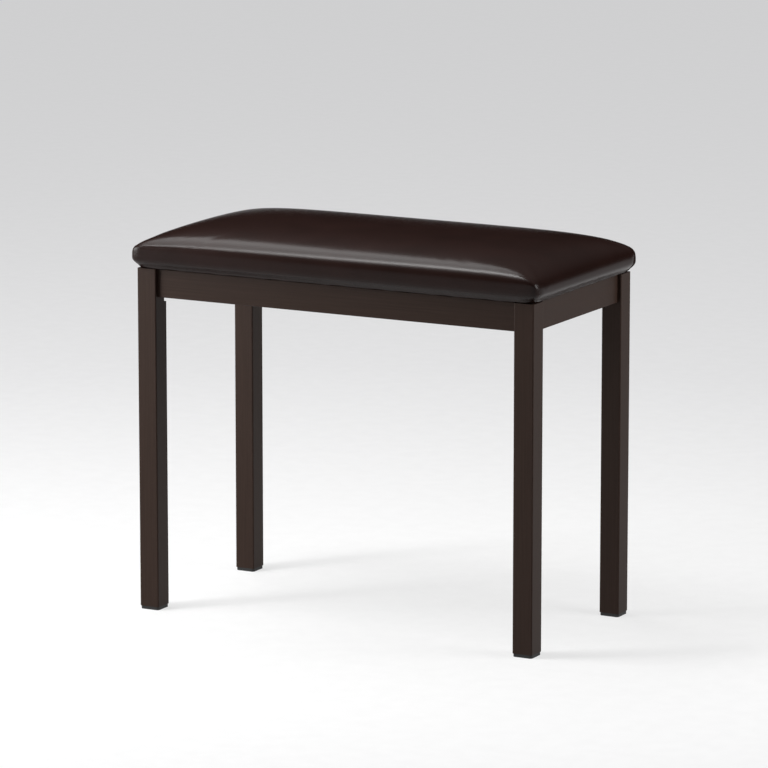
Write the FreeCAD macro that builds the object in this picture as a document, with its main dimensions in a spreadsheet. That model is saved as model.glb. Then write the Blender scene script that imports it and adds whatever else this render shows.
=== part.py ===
import FreeCAD, Part
import math
import os
import Sketcher
from FreeCAD import Placement, Rotation, Vector

# Padded bench of fixed height. Four square legs and four aprons are bolted together at the corners
# through pressed steel brackets, and an upholstered seat is screwed down onto the brackets' tabs.
# Millimetres, +Z up, front towards -Y, origin on the floor at the middle of the footprint.

DIMENSIONS = [
    ("frame_length", 540.0, "outer faces of the legs, left to right"),
    ("frame_depth", 262.0, "outer faces of the legs, front to back"),
    ("seat_plane", 426.0, "floor to the tops of the legs and aprons"),
    ("leg_side", 26.0, "side of the square leg"),
    ("leg_edge_radius", 1.5, "eased long edges of the leg"),
    ("leg_flat", 6.0, "side of the flat planed off the leg's inner corner"),
    ("leg_flat_drop", 8.0, "how far the flat runs on below the apron"),
    ("apron_height", 35.0, "height of the aprons"),
    ("apron_thickness", 15.0, "thickness of the aprons"),
    ("apron_recess", 5.0, "from the legs' outer faces back to the aprons'"),
    ("apron_edge_radius", 1.0, "eased long edges of the aprons"),
    ("foot_height", 4.0, "thickness of the pads under the legs"),
    ("foot_inset", 0.4, "from the leg's faces in to the pad's"),
    ("foot_corner_radius", 3.0, "upright corners of the pad"),
    ("bracket_sheet", 2.0, "thickness of the bracket's steel sheet"),
    ("bracket_height", 28.0, "height of the bracket's web and flanges"),
    ("bracket_reach", 24.0, "along each apron, from the inner corner to the bend"),
    ("bracket_flange", 26.0, "length of the flange that lies on the apron"),
    ("bracket_lip", 7.0, "depth of the lip that hooks into the apron"),
    ("bend_radius", 2.0, "inside of the bends beside the bracket's web"),
    ("tab_length", 20.0, "how far the bracket's top tab stands in from the web"),
    ("tab_width", 24.0, "width of the top tab"),
    ("hole_clearance", 0.1, "between a shank and its hole or a lip and its kerf, all round"),
    ("bolt_diameter", 6.0, "hanger bolt"),
    ("bolt_embed", 24.0, "length of the hanger bolt inside the leg"),
    ("bolt_tail", 4.0, "length of the hanger bolt past the nut"),
    ("washer_diameter", 14.0, "outside diameter of the washer"),
    ("washer_thickness", 1.6, "thickness of the washer"),
    ("nut_flats", 10.0, "width of the nut across its flats"),
    ("nut_height", 5.0, "height of the nut"),
    ("seat_screw_diameter", 4.0, "shank of the seat screws"),
    ("seat_screw_head", 8.0, "head diameter of the seat screws"),
    ("seat_screw_head_height", 2.6, "head height of the seat screws"),
    ("seat_screw_embed", 9.0, "length of the seat screws inside the board"),
    ("board_thickness", 12.0, "seat board"),
    ("board_inset", 2.5, "from the frame's outline in to the board's edge"),
    ("board_corner_radius", 8.0, "corners of the seat board"),
    ("vinyl_thickness", 1.0, "seat cover"),
    ("vinyl_return", 10.0, "how far the cover reaches in past the aprons under the board"),
    ("foam_clearance", 0.3, "between the foam and the cover"),
    ("seat_overhang", 7.0, "how far the cushion bulges past the frame"),
    ("bulge_height", 12.0, "widest level of the cushion, above the seat plane"),
    ("seat_thickness", 54.0, "crown of the cushion, above the seat plane"),
    ("seat_corner_radius", 10.0, "corners of the cushion's outline"),
    ("crown_corner_radius", 150.0, "limit that the corners' radius nears up the crown"),
    ("end_rise", 2.6, "power of the crown's fall towards the ends, by height"),
    ("end_flatness", 5.3, "power of the crown's fall towards the ends, by length"),
    ("side_rise", 5.0, "power of the crown's fall to front and back, by height"),
    ("side_flatness", 1.6, "power of the crown's fall to front and back, by depth"),
    ("corner_power", 1.7, "power by which the corners round off with height"),
    ("dust_thickness", 0.5, "dust cover"),
    ("dust_gap", 4.0, "from the aprons' inner faces in to the dust cover's edge"),
    ("dust_corner_radius", 12.0, "corners of the dust cover"),
    ("staple_crown", 10.0, "length of a staple's crown"),
    ("staple_wire", 0.8, "side of a staple's square wire"),
    ("staple_embed", 5.0, "length of a staple's legs inside the board"),
    ("vinyl_staple_gap", 1.6, "from the aprons' inner faces in to the cover's staples"),
    ("vinyl_staple_pitch", 72.0, "spacing of the cover's staples"),
    ("dust_hem", 3.0, "from the dust cover's edge in to its staples"),
    ("dust_staple_pitch", 115.0, "spacing of the dust cover's staples"),
    ("staple_free_end", 20.0, "from a bracket's end to the nearest staple"),
]

# Levels and places that several pieces share, as expressions on the sheet.
INNER_FACE = "(dims.apron_recess + dims.apron_thickness)"
BRACKET_END = f"({INNER_FACE} + dims.bracket_reach + dims.bracket_flange)"
BRACKET_TOP = "(dims.seat_plane - dims.dust_thickness)"
BOLT_LEVEL = f"({BRACKET_TOP} - dims.bracket_height / 2)"
BOARD_LEVEL = "(dims.seat_plane + dims.vinyl_thickness)"
SEAT_LENGTH = "(dims.frame_length + 2 * dims.seat_overhang)"
SEAT_DEPTH = "(dims.frame_depth + 2 * dims.seat_overhang)"

# Distances along the diagonal of a corner, from the frame's outer corner inwards.
LEG_FLAT_AT = "((2 * dims.leg_side - dims.leg_flat) / sqrt(2))"
WEB_AT = f"((2 * {INNER_FACE} + dims.bracket_reach) / sqrt(2))"
WEB_INSIDE_AT = f"({WEB_AT} + dims.bracket_sheet)"
SEAT_SCREW_AT = f"({WEB_INSIDE_AT} + dims.tab_length / 2)"

# Each corner of the frame: side of the middle it lies on, and the turn that brings it there from front left.
CORNERS = {
    "front_left": (-1, -1, 0),
    "front_right": (1, -1, 90),
    "rear_right": (1, 1, 180),
    "rear_left": (-1, 1, 270),
}

UP = Vector(0, 0, 1)
INWARDS = Vector(1, 1, 0)
OUTWARDS = Vector(-1, -1, 0)
CUT_MARGIN = 1.0
MATCH_DECIMALS = 3

# Sections of the cushion: how far up its rounded profile the flat top lies, then, for the outside and for the
# hidden inside, the steps of flare, the steps of crown and the straight lines that stand for each corner's arc.
CROWN_TOP_ANGLE = 80.0
OUTSIDE_STEPS = (4, 13, 6)
INSIDE_STEPS = (2, 8, 3)

doc = FreeCAD.newDocument("padded_bench")
sheet = doc.addObject("Spreadsheet::Sheet", "dims")
for row, (alias, value, words) in enumerate(DIMENSIONS, start=1):
    sheet.set(f"A{row}", words)
    sheet.set(f"B{row}", str(value))
    sheet.setAlias(f"B{row}", alias)
doc.recompute()

nodes = []


def size(expression):
    """The present value of an expression on the sheet."""
    return float(sheet.evalExpression(expression))


def bind(thing, **expressions):
    """Bind a feature's properties to expressions on the sheet."""
    for name, expression in expressions.items():
        thing.setExpression(name, expression)


def place(thing, x="0", y="0", z="0"):
    """Bind the three coordinates of a feature's Placement."""
    for axis, expression in zip("xyz", (x, y, z)):
        thing.setExpression(f"Placement.Base.{axis}", expression)


def node(thing, label):
    """Name a finished sub-part and keep it for the checks and the export."""
    thing.Label = label
    nodes.append(thing)
    return thing


def new_body(name):
    return doc.addObject("PartDesign::Body", name)


def sketch_on(body, name, role, x="0", y="0", z="0"):
    """A sketch on one of the body's origin planes, moved along that plane's own axes."""
    sketch = body.newObject("Sketcher::SketchObject", name)
    plane = next(item for item in body.Origin.OriginFeatures if item.Role == role)
    sketch.AttachmentSupport = (plane, [""])
    sketch.MapMode = "FlatFace"
    for axis, expression in zip("xyz", (x, y, z)):
        sketch.setExpression(f"AttachmentOffset.Base.{axis}", expression)
    return sketch


def constrain(sketch, expression, kind, *where):
    """Add a constraint whose size is an expression on the sheet."""
    index = sketch.addConstraint(Sketcher.Constraint(kind, *where, size(expression)))
    sketch.setExpression(f"Constraints[{index}]", expression)


def outline(sketch, points):
    """A closed outline of straight lines; each point is a pair of expressions."""
    spots = [Vector(size(x), size(y), 0) for x, y in points]
    count = len(spots)
    for index in range(count):
        sketch.addGeometry(Part.LineSegment(spots[index], spots[(index + 1) % count]))
    for index in range(count):
        sketch.addConstraint(Sketcher.Constraint("Coincident", index, 2, (index + 1) % count, 1))
    for index, (x, y) in enumerate(points):
        for expression, kind, axis in ((x, "DistanceX", -2), (y, "DistanceY", -1)):
            if expression == "0":
                sketch.addConstraint(Sketcher.Constraint("PointOnObject", index, 1, axis))
            else:
                constrain(sketch, expression, kind, -1, 1, index, 1)


def rounded_rectangle(sketch, length, depth, radius):
    """A rounded rectangle about the sketch's origin: lines 0 to 3 from the bottom, then arcs 4 to 7."""
    half_length = size(length) / 2
    half_depth = size(depth) / 2
    turn = size(radius)
    across = half_length - turn
    along = half_depth - turn
    ends = [
        ((-across, -half_depth), (across, -half_depth)),
        ((half_length, -along), (half_length, along)),
        ((across, half_depth), (-across, half_depth)),
        ((-half_length, along), (-half_length, -along)),
    ]
    centres = [(across, -along), (across, along), (-across, along), (-across, -along)]
    for start, end in ends:
        sketch.addGeometry(Part.LineSegment(Vector(*start, 0), Vector(*end, 0)))
    for quarter, centre in enumerate(centres):
        circle = Part.Circle(Vector(*centre, 0), UP, turn)
        start = math.radians(90 * quarter - 90)
        sketch.addGeometry(Part.ArcOfCircle(circle, start, start + math.pi / 2))
    for quarter in range(4):
        arc = 4 + quarter
        sketch.addConstraint(Sketcher.Constraint("Tangent", quarter, 2, arc, 1))
        sketch.addConstraint(Sketcher.Constraint("Tangent", arc, 2, (quarter + 1) % 4, 1))
        sketch.addConstraint(Sketcher.Constraint(("Horizontal", "Vertical")[quarter % 2], quarter))
    for arc in (5, 6, 7):
        sketch.addConstraint(Sketcher.Constraint("Equal", 4, arc))
    sketch.addConstraint(Sketcher.Constraint("Symmetric", 4, 3, 6, 3, -1, 1))
    constrain(sketch, length, "DistanceX", 3, 1, 1, 1)
    constrain(sketch, depth, "DistanceY", 0, 1, 2, 1)
    constrain(sketch, radius, "Radius", 4)


def pad(body, sketch, length, middle=False):
    feature = body.newObject("PartDesign::Pad", f"{sketch.Name}_pad")
    feature.Profile = sketch
    feature.Midplane = middle
    bind(feature, Length=length)
    doc.recompute()
    return feature


def pocket(body, sketch, depth, reverse=False):
    """Cut a sketch into the body, and make sure that it met material."""
    before = body.Shape.Volume
    feature = body.newObject("PartDesign::Pocket", f"{sketch.Name}_pocket")
    feature.Profile = sketch
    feature.Reversed = reverse
    bind(feature, Length=depth)
    doc.recompute()
    if not body.Shape.Volume < before:
        raise RuntimeError(f"{feature.Name} cuts nothing")


def drill(body, name, diameter, depth, start, direction):
    """A round hole from a point, given as three expressions, along a direction."""
    before = body.Shape.Volume
    feature = body.newObject("PartDesign::SubtractiveCylinder", name)
    feature.Placement = Placement(Vector(), Rotation(UP, direction))
    bind(feature, Radius=f"{diameter} / 2 + dims.hole_clearance", Height=depth)
    place(feature, *start)
    doc.recompute()
    if not body.Shape.Volume < before:
        raise RuntimeError(f"{feature.Name} cuts nothing")


def turned(name, points):
    """A body turned about its own Z axis; each point is radius and height, as expressions."""
    body = new_body(name)
    sketch = sketch_on(body, f"{name}_profile", "XZ_Plane")
    outline(sketch, points)
    feature = body.newObject("PartDesign::Revolution", f"{name}_turn")
    feature.Profile = sketch
    feature.ReferenceAxis = (sketch, ["V_Axis"])
    feature.Angle = 360
    doc.recompute()
    return body


def corner_placement(corner):
    """Carries the frame of a corner, origin at its outer corner on the floor, to its place on the bench."""
    side_x, side_y, turn = CORNERS[corner]
    base = Vector(side_x * size("dims.frame_length / 2"), side_y * size("dims.frame_depth / 2"), 0)
    return Placement(base, Rotation(UP, turn))


def put_at_corner(thing, corner):
    side_x, side_y, turn = CORNERS[corner]
    thing.Placement = Placement(Vector(), Rotation(UP, turn))
    place(thing, f"{side_x} * dims.frame_length / 2", f"{side_y} * dims.frame_depth / 2")


def copies(label, master, placements):
    """One node of separate solids: the master's shape at each of the placements."""
    group = doc.addObject("Part::Feature", label)
    master.Placement = Placement()
    group.Shape = Part.makeCompound([master.Shape.transformed(spot.toMatrix()) for spot in placements])
    return node(group, label)


def at_corners(label, master, spots):
    """Copies of a fastener at the same spots of all four corners."""
    return copies(label, master, [corner_placement(corner) * spot for corner in CORNERS for spot in spots])


def diagonal_spot(distance, level, direction):
    """A place on a corner's diagonal, with the piece's own Z axis along a direction."""
    share = size(distance) / math.sqrt(2)
    return Placement(Vector(share, share, size(level)), Rotation(UP, direction))


def diagonal_point(distance, across):
    """A point in a corner's plan, by its distance along the diagonal and across it, as expressions."""
    return (f"({distance} + {across}) / sqrt(2)", f"({distance} - {across}) / sqrt(2)")


# Legs. A square post stands on its pad. The inner corner is planed flat where the hanger bolt goes in.
def build_leg(corner):
    name = f"leg_{corner}"
    body = new_body(name)
    plan = sketch_on(body, f"{name}_plan", "XY_Plane",
                     "dims.leg_side / 2", "dims.leg_side / 2", "dims.foot_height")
    rounded_rectangle(plan, "dims.leg_side", "dims.leg_side", "dims.leg_edge_radius")
    pad(body, plan, "dims.seat_plane - dims.foot_height")
    flat = sketch_on(body, f"{name}_flat", "XY_Plane", z="dims.seat_plane")
    far = f"dims.leg_side + {CUT_MARGIN}"
    near = f"dims.leg_side - dims.leg_flat - {CUT_MARGIN}"
    outline(flat, [(far, near), (far, far), (near, far)])
    pocket(body, flat, "dims.apron_height + dims.leg_flat_drop")
    start = diagonal_point(LEG_FLAT_AT, "0")
    drill(body, f"{name}_bolt_hole", "dims.bolt_diameter", "dims.bolt_embed",
          (*start, BOLT_LEVEL), OUTWARDS)
    put_at_corner(body, corner)
    node(body, name)


# Aprons. Each runs between two legs, its outer face set back. Near both ends a saw kerf across the inner face
# takes a bracket's lip.
def build_apron(name, span, x, y, turn):
    body = new_body(name)
    length = f"({span} - 2 * dims.leg_side)"
    section = sketch_on(body, f"{name}_section", "YZ_Plane",
                        "dims.apron_thickness / 2", "dims.seat_plane - dims.apron_height / 2")
    rounded_rectangle(section, "dims.apron_thickness", "dims.apron_height", "dims.apron_edge_radius")
    pad(body, section, length, middle=True)
    kerf_near = f"({span} / 2 - {BRACKET_END} - dims.hole_clearance)"
    kerf_far = f"({span} / 2 - {BRACKET_END} + dims.bracket_sheet + dims.hole_clearance)"
    kerf_floor = "dims.apron_thickness - dims.bracket_lip - dims.hole_clearance"
    kerf_mouth = f"dims.apron_thickness + {CUT_MARGIN}"
    for side in ("-", ""):
        kerf = sketch_on(body, f"{name}_kerf", "XY_Plane", z="dims.seat_plane")
        outline(kerf, [
            (f"{side}{kerf_near}", kerf_floor),
            (f"{side}{kerf_far}", kerf_floor),
            (f"{side}{kerf_far}", kerf_mouth),
            (f"{side}{kerf_near}", kerf_mouth),
        ])
        pocket(body, kerf, f"dims.apron_height + {CUT_MARGIN}")
    body.Placement = Placement(Vector(), Rotation(UP, turn))
    place(body, x, y)
    node(body, name)


def round_uprights(body, base, x, y, radius):
    """Round the two upright edges at (x, y) and at its mirror image across the corner's diagonal."""
    spot = (round(size(x), MATCH_DECIMALS), round(size(y), MATCH_DECIMALS))
    edges = []
    for index, edge in enumerate(base.Shape.Edges, start=1):
        ends = {(round(end.X, MATCH_DECIMALS), round(end.Y, MATCH_DECIMALS)) for end in edge.Vertexes}
        if len(ends) == 1 and ends <= {spot, spot[::-1]}:
            edges.append(f"Edge{index}")
    feature = body.newObject("PartDesign::Fillet", f"{base.Name}_round")
    feature.Base = (base, edges)
    bind(feature, Radius=radius)
    doc.recompute()
    return feature


# Corner brackets. A diagonal web takes the hanger bolt, and two flanges lie on the aprons' inner faces, each
# with a lip hooked into the apron's kerf. A tab at the top takes the screw that holds the seat.
def build_bracket(corner):
    name = f"corner_bracket_{corner}"
    body = new_body(name)
    bottom = f"{BRACKET_TOP} - dims.bracket_height"
    bend = f"{INNER_FACE} + dims.bracket_reach"
    inside = f"{INNER_FACE} + dims.bracket_sheet"
    inside_bend = f"{bend} + dims.bracket_sheet * (sqrt(2) - 1)"
    lip_start = f"{BRACKET_END} - dims.bracket_sheet"
    lip_end = f"{INNER_FACE} - dims.bracket_lip"
    plan = sketch_on(body, f"{name}_plan", "XY_Plane", z=bottom)
    outline(plan, [
        (BRACKET_END, lip_end),
        (BRACKET_END, inside),
        (inside_bend, inside),
        (inside, inside_bend),
        (inside, BRACKET_END),
        (lip_end, BRACKET_END),
        (lip_end, lip_start),
        (INNER_FACE, lip_start),
        (INNER_FACE, bend),
        (bend, INNER_FACE),
        (lip_start, INNER_FACE),
        (lip_start, lip_end),
    ])
    strip = pad(body, plan, "dims.bracket_height")
    inside_bends = round_uprights(body, strip, inside_bend, inside, "dims.bend_radius")
    web_bends = round_uprights(body, inside_bends, bend, INNER_FACE, "dims.bend_radius + dims.bracket_sheet")
    round_uprights(body, web_bends, BRACKET_END, inside, "dims.bracket_sheet")
    tab = sketch_on(body, f"{name}_tab", "XY_Plane", z=f"{BRACKET_TOP} - dims.bracket_sheet")
    tab_end = f"{WEB_INSIDE_AT} + dims.tab_length"
    outline(tab, [
        diagonal_point(WEB_AT, "dims.tab_width / 2"),
        diagonal_point(tab_end, "dims.tab_width / 2"),
        diagonal_point(tab_end, "(-dims.tab_width / 2)"),
        diagonal_point(WEB_AT, "(-dims.tab_width / 2)"),
    ])
    pad(body, tab, "dims.bracket_sheet")
    through = f"dims.bracket_sheet + {CUT_MARGIN}"
    drill(body, f"{name}_bolt_hole", "dims.bolt_diameter", through,
          (*diagonal_point(WEB_INSIDE_AT, "0"), BOLT_LEVEL), OUTWARDS)
    drill(body, f"{name}_seat_hole", "dims.seat_screw_diameter", through,
          (*diagonal_point(SEAT_SCREW_AT, "0"), BRACKET_TOP), -UP)
    put_at_corner(body, corner)
    node(body, name)


# Foot pads. A moulded square with rounded corners, glued to the leg's end.
def build_foot(corner):
    name = f"foot_pad_{corner}"
    body = new_body(name)
    middle = "dims.leg_side / 2"
    side = "dims.leg_side - 2 * dims.foot_inset"
    plan = sketch_on(body, f"{name}_plan", "XY_Plane", middle, middle)
    rounded_rectangle(plan, side, side, "dims.foot_corner_radius")
    pad(body, plan, "dims.foot_height")
    put_at_corner(body, corner)
    node(body, name)


for corner in CORNERS:
    build_leg(corner)
    build_bracket(corner)
    build_foot(corner)
apron_x = "(dims.frame_length / 2 - dims.apron_recess)"
apron_y = "(dims.frame_depth / 2 - dims.apron_recess)"
build_apron("apron_front", "dims.frame_length", "0", f"-{apron_y}", 0)
build_apron("apron_rear", "dims.frame_length", "0", apron_y, 180)
build_apron("apron_left", "dims.frame_depth", f"-{apron_x}", "0", -90)
build_apron("apron_right", "dims.frame_depth", apron_x, "0", 90)

# Corner fasteners. The hanger bolt is driven into the leg, and a washer and nut draw the leg to the web.
web_gap = f"({WEB_INSIDE_AT} - {LEG_FLAT_AT})"
bolt_length = f"dims.bolt_embed + {web_gap} + dims.washer_thickness + dims.nut_height + dims.bolt_tail"
hanger_bolt = doc.addObject("Part::Cylinder", "hanger_bolt")
bind(hanger_bolt, Radius="dims.bolt_diameter / 2", Height=bolt_length)
doc.recompute()
at_corners("hanger_bolts", hanger_bolt,
           [diagonal_spot(f"{LEG_FLAT_AT} - dims.bolt_embed", BOLT_LEVEL, INWARDS)])


def pierced(name, blank):
    """A washer or a nut: a blank about the Z axis with the bolt's hole through it."""
    hole = doc.addObject("Part::Cylinder", f"{name}_hole")
    bind(hole, Radius="dims.bolt_diameter / 2 + dims.hole_clearance", Height=f"{blank.Name}.Height")
    piece = doc.addObject("Part::Cut", name)
    piece.Base = blank
    piece.Tool = hole
    doc.recompute()
    return piece


washer_blank = doc.addObject("Part::Cylinder", "washer_blank")
bind(washer_blank, Radius="dims.washer_diameter / 2", Height="dims.washer_thickness")
nut_blank = doc.addObject("Part::Prism", "nut_blank")
nut_blank.Polygon = 6
bind(nut_blank, Circumradius="dims.nut_flats / sqrt(3)", Height="dims.nut_height")
at_corners("bolt_washers", pierced("bolt_washer", washer_blank),
           [diagonal_spot(WEB_INSIDE_AT, BOLT_LEVEL, INWARDS)])
at_corners("bolt_nuts", pierced("bolt_nut", nut_blank),
           [diagonal_spot(f"{WEB_INSIDE_AT} + dims.washer_thickness", BOLT_LEVEL, INWARDS)])

# Seat screws. One goes up through each tab and the dust cover into the seat board.
head_radius = "dims.seat_screw_head / 2"
shank_radius = "dims.seat_screw_diameter / 2"
head_seat = "dims.seat_screw_head_height"
seat_grip = "dims.bracket_sheet + dims.dust_thickness + dims.vinyl_thickness + dims.seat_screw_embed"
screw_end = f"{head_seat} + {seat_grip}"
seat_screw = turned("seat_screw", [
    ("0", "0"),
    (head_radius, "0"),
    (head_radius, head_seat),
    (shank_radius, head_seat),
    (shank_radius, screw_end),
    ("0", screw_end),
])
at_corners("seat_screws", seat_screw,
           [diagonal_spot(SEAT_SCREW_AT,
                          f"{BRACKET_TOP} - dims.bracket_sheet - dims.seat_screw_head_height", UP)])


# Cushion. Level by level the form is a rounded rectangle: flush with the frame at the seat plane, flaring out
# to the bulge, then drawn in over the crown. The ends fall away sooner than the front and back, and the
# corners round off as they rise. `inset` moves the whole form inwards, for the inside of the cover.
def cushion_levels(inset, steps):
    """Level, length, depth and corner radius of each section of the cushion, as expressions."""
    flare_steps, crown_steps, corner_lines = steps
    levels = []
    for step in range(flare_steps):
        share = step / flare_steps
        rise = f"(dims.bulge_height - {inset}) * {share}"
        flare = f"dims.seat_overhang * sin(90 deg * {share})"
        levels.append((f"dims.seat_plane + {inset} + {rise}",
                       f"dims.frame_length + 2 * ({flare} - {inset})",
                       f"dims.frame_depth + 2 * ({flare} - {inset})",
                       f"dims.seat_corner_radius - {inset}"))
    top_share = math.sin(math.radians(CROWN_TOP_ANGLE))
    for step in range(crown_steps + 1):
        share = math.sin(math.radians(CROWN_TOP_ANGLE * step / crown_steps))
        rise = f"(dims.seat_thickness - {inset} - dims.bulge_height) * {share / top_share}"
        length = f"{SEAT_LENGTH} * (1 - {share} ^ dims.end_rise) ^ (1 / dims.end_flatness)"
        depth = f"{SEAT_DEPTH} * (1 - {share} ^ dims.side_rise) ^ (1 / dims.side_flatness)"
        rounding = f"dims.crown_corner_radius * {depth} / (2 * dims.crown_corner_radius + {depth})"
        radius = (f"dims.seat_corner_radius + ({rounding} - dims.seat_corner_radius)"
                  f" * {share} ^ dims.corner_power")
        levels.append((f"dims.seat_plane + dims.bulge_height + {rise}",
                       f"{length} - 2 * {inset}", f"{depth} - 2 * {inset}", f"{radius} - {inset}"))
    return levels


def cut_corner_rectangle(sketch, length, depth, radius, corner_lines):
    """A rounded rectangle about the sketch's origin whose corner arcs are a few straight lines inside them."""
    points = []
    for quarter, (side_x, side_y) in enumerate(((1, -1), (1, 1), (-1, 1), (-1, -1))):
        for step in range(corner_lines + 1):
            angle = 90 * (quarter - 1 + step / corner_lines)
            points.append((f"{side_x} * (({length}) / 2 - ({radius})) + ({radius}) * cos({angle} deg)",
                           f"{side_y} * (({depth}) / 2 - ({radius})) + ({radius}) * sin({angle} deg)"))
    outline(sketch, points)


def cushion_form(name, inset, steps):
    """The cushion's form, drawn in by an inset: a loft of flat faces through its sections."""
    sections = []
    for index, (level, length, depth, radius) in enumerate(cushion_levels(inset, steps)):
        section = doc.addObject("Sketcher::SketchObject", f"{name}_section_{index}")
        place(section, z=level)
        cut_corner_rectangle(section, length, depth, radius, steps[-1])
        sections.append(section)
    doc.recompute()
    form = doc.addObject("Part::Loft", name)
    form.Sections = sections
    form.Solid = True
    form.Ruled = True
    form.Linearize = True
    doc.recompute()
    return form


cover_outside = cushion_form("cover_outside", "0", OUTSIDE_STEPS)
cover_inside = cushion_form("cover_inside", "dims.vinyl_thickness", INSIDE_STEPS)
cover_opening = new_body("cover_opening")
opening = sketch_on(cover_opening, "opening_plan", "XY_Plane", z=f"dims.seat_plane - {CUT_MARGIN}")
return_edge = f"2 * ({INNER_FACE} + dims.vinyl_return)"
rounded_rectangle(opening, f"dims.frame_length - {return_edge}", f"dims.frame_depth - {return_edge}",
                  "dims.dust_corner_radius")
pad(cover_opening, opening, f"dims.vinyl_thickness + {2 * CUT_MARGIN}")

# Seat board. Plywood inside the cover, drilled for the seat screws.
board_length = "dims.frame_length - 2 * dims.board_inset"
board_depth = "dims.frame_depth - 2 * dims.board_inset"
board_blank = new_body("seat_board_blank")
board_plan = sketch_on(board_blank, "board_plan", "XY_Plane", z=BOARD_LEVEL)
rounded_rectangle(board_plan, board_length, board_depth, "dims.board_corner_radius")
pad(board_blank, board_plan, "dims.board_thickness")
seat_hole_x = f"(dims.frame_length / 2 - {SEAT_SCREW_AT} / sqrt(2))"
seat_hole_y = f"(dims.frame_depth / 2 - {SEAT_SCREW_AT} / sqrt(2))"

# Dust cover. A thin cloth under the seat, inside the aprons, pierced where the seat screws pass.
dust_edge = f"2 * ({INNER_FACE} + dims.dust_gap)"
dust_sheet = new_body("dust_cover_sheet")
dust_plan = sketch_on(dust_sheet, "dust_plan", "XY_Plane", z=BRACKET_TOP)
rounded_rectangle(dust_plan, f"dims.frame_length - {dust_edge}", f"dims.frame_depth - {dust_edge}",
                  "dims.dust_corner_radius")
pad(dust_sheet, dust_plan, "dims.dust_thickness")
for side_x, side_y, turn in CORNERS.values():
    spot = (f"{side_x} * {seat_hole_x}", f"{side_y} * {seat_hole_y}")
    drill(board_blank, "board_hole", "dims.seat_screw_diameter", f"dims.seat_screw_embed + {CUT_MARGIN}",
          (*spot, f"{BOARD_LEVEL} - {CUT_MARGIN}"), UP)
    drill(dust_sheet, "dust_hole", "dims.seat_screw_diameter", f"dims.dust_thickness + {2 * CUT_MARGIN}",
          (*spot, f"{BRACKET_TOP} - {CUT_MARGIN}"), UP)

# Foam. It fills the cover over the board and down round the board's edge.
foam_form = cushion_form("foam_form", "(dims.vinyl_thickness + dims.foam_clearance)", INSIDE_STEPS)
board_seat = new_body("foam_board_seat")
board_seat_plan = sketch_on(board_seat, "board_seat_plan", "XY_Plane", z=f"{BOARD_LEVEL} - {CUT_MARGIN}")
rounded_rectangle(board_seat_plan, board_length, board_depth, "dims.board_corner_radius")
pad(board_seat, board_seat_plan, f"dims.board_thickness + {CUT_MARGIN}")


# Staples. A row along each side of the seat, between the brackets, for the cover and for the dust cover.
def staple(name, grip):
    """One staple: crown along X from the floor of its own frame, legs `grip` long towards +Z."""
    body = new_body(name)
    sketch = sketch_on(body, f"{name}_wire", "XZ_Plane")
    half = "dims.staple_crown / 2"
    inner = f"({half} - dims.staple_wire)"
    end = f"dims.staple_wire + {grip}"
    outline(sketch, [
        (f"-{half}", "0"), (half, "0"), (half, end), (inner, end),
        (inner, "dims.staple_wire"), (f"-{inner}", "dims.staple_wire"), (f"-{inner}", end), (f"-{half}", end),
    ])
    pad(body, sketch, "dims.staple_wire", middle=True)
    return body


def staple_row(span, pitch):
    """Places along a side, evenly about its middle, that stay clear of the brackets."""
    free = size(f"{span} - 2 * ({BRACKET_END} + dims.staple_free_end)")
    gaps = int(free // size(pitch))
    return [size(pitch) * (index - gaps / 2) for index in range(gaps + 1)]


def staple_spots(edge, level, pitch):
    """Placements of the staples of all four rows, `edge` in from the frame's outline."""
    spots = []
    for span, across in (("dims.frame_length", "dims.frame_depth"), ("dims.frame_depth", "dims.frame_length")):
        turn = Rotation(UP, 0 if span == "dims.frame_length" else 90)
        for side in (-1, 1):
            offset = side * size(f"{across} / 2 - {edge}")
            for along in staple_row(span, pitch):
                spots.append(Placement(turn.multVec(Vector(along, offset, 0)) + UP * size(level), turn))
    return spots


vinyl_staple = staple("cover_staple", "dims.vinyl_thickness + dims.staple_embed")
cover_staples = copies("cover_staples", vinyl_staple,
                       staple_spots(f"({INNER_FACE} + dims.vinyl_staple_gap)",
                                    "dims.seat_plane - dims.staple_wire", "dims.vinyl_staple_pitch"))
dust_staple = staple("dust_cover_staple", "dims.dust_thickness + dims.vinyl_thickness + dims.staple_embed")
dust_staples = copies("dust_cover_staples", dust_staple,
                      staple_spots(f"({INNER_FACE} + dims.dust_gap + dims.dust_hem)",
                                   f"{BRACKET_TOP} - dims.staple_wire", "dims.dust_staple_pitch"))


def cut_away(label, blank, tools):
    """A piece with the room that other pieces take in it, such as the slots of the staples' legs."""
    for index, tool in enumerate(tools):
        piece = doc.addObject("Part::Cut", f"{label}_cut_{index}")
        piece.Base = blank
        piece.Tool = tool
        blank = piece
    doc.recompute()
    node(blank, label)


cut_away("seat_cover", cover_outside, [cover_inside, cover_opening, cover_staples, dust_staples])
cut_away("seat_foam", foam_form, [board_seat])
cut_away("seat_board", board_blank, [cover_staples, dust_staples])
cut_away("dust_cover", dust_sheet, [dust_staples])

# Checks, then one file for each sub-part.
doc.recompute()
for thing in doc.Objects:
    if {"Invalid", "Error"} & set(thing.State):
        raise RuntimeError(f"{thing.Name} did not build: {thing.State}")
os.makedirs("parts", exist_ok=True)
for thing in nodes:
    shape = thing.Shape
    if shape.isNull() or not shape.isValid() or not shape.Solids:
        raise RuntimeError(f"{thing.Label} is not a valid solid")
    shape.exportStep(f"parts/{thing.Label}.step")
    box = shape.BoundBox
    print(f"{thing.Label}: {len(shape.Solids)} solid(s), {shape.Volume:.1f} mm3, "
          f"z {box.ZMin:.2f} to {box.ZMax:.2f}")
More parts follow.
